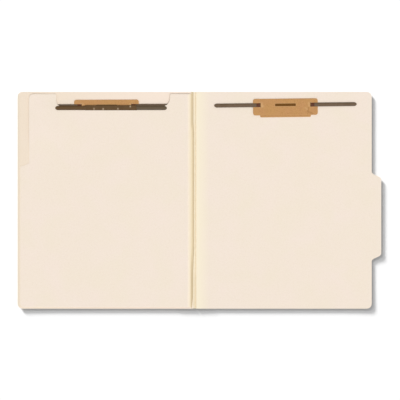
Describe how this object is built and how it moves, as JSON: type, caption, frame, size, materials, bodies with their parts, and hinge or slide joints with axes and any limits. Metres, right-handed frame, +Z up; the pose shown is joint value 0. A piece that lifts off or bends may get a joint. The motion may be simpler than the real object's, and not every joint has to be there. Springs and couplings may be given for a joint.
{
  "type": "classification folder",
  "caption": "Letter-size manila classification folder lying open, with a side tab, a spunbonded gusset, a notched divider and flat prong fasteners.",
  "frame": {"origin": "middle of the open folder's footprint, tab included, on the surface that it lies on", "axes": "+X from the front cover to the back cover, +Y up the pages, +Z up from the table, out of the folder's inside"},
  "size_m": [0.5006, 0.2984, 0.0041],
  "materials": {
    "manila_board": "matt uncoated manila board with a fine fibre mottle",
    "kraft_paper": "brown kraft paper, matt, with long fibres",
    "gusset_sheet": "pale yellow spunbonded sheet with a silky fibre pattern",
    "glue_film": "thin translucent adhesive film",
    "brown_metal": "dark brown lacquered strip steel, softly glossy"
  },
  "bodies": {
    "back": {"back_cover": "manila_board", "back_gusset": "gusset_sheet", "back_gusset_glue": "glue_film", "back_bonding_pad": "glue_film", "back_fastener_carrier": "kraft_paper", "back_base_strip": "brown_metal"},
    "back_left_prong": {"back_prong_left": "brown_metal"},
    "back_right_prong": {"back_prong_right": "brown_metal"},
    "front": {"front_cover": "manila_board", "front_gusset": "gusset_sheet", "front_gusset_glue": "glue_film", "front_bonding_pad": "glue_film", "front_fastener_carrier": "kraft_paper", "front_base_strip": "brown_metal", "front_prong_left": "brown_metal", "front_prong_right": "brown_metal"},
    "divider": {"divider_board": "manila_board", "divider_hinge_tape": "gusset_sheet", "divider_tape_glue": "glue_film", "divider_fastener_channel": "brown_metal", "divider_under_prong_left": "brown_metal", "divider_under_prong_right": "brown_metal"},
    "divider_left_prong": {"divider_top_prong_left": "brown_metal"},
    "divider_right_prong": {"divider_top_prong_right": "brown_metal"}
  },
  "joints": [
    {"name": "front_cover_hinge", "type": "hinge", "parent": "back", "child": "front", "pos_m": [-0.00655, 0, 0.0055], "axis": [0, 1, 0], "range_deg": [0, 180]},
    {"name": "divider_hinge", "type": "hinge", "parent": "front", "child": "divider", "pos_m": [-0.0085, 0, 0.00321], "axis": [0, 1, 0], "range_deg": [0, 180]},
    {"name": "back_left_prong_bend", "type": "hinge", "parent": "back", "child": "back_left_prong", "pos_m": [0.08343, 0.13093, 0.00184], "axis": [-0.0112, 0.9999, 0], "range_deg": [0, 180]},
    {"name": "back_right_prong_bend", "type": "hinge", "parent": "back", "child": "back_right_prong", "pos_m": [0.15327, 0.13172, 0.00184], "axis": [0.0112, -0.9999, 0], "range_deg": [0, 175]},
    {"name": "divider_left_prong_bend", "type": "hinge", "parent": "divider", "child": "divider_left_prong", "pos_m": [-0.15627, 0.12635, 0.00394], "axis": [0, 1, 0], "range_deg": [0, 180]},
    {"name": "divider_right_prong_bend", "type": "hinge", "parent": "divider", "child": "divider_right_prong", "pos_m": [-0.08643, 0.12635, 0.00394], "axis": [0, -1, 0], "range_deg": [0, 178]}
  ]
}
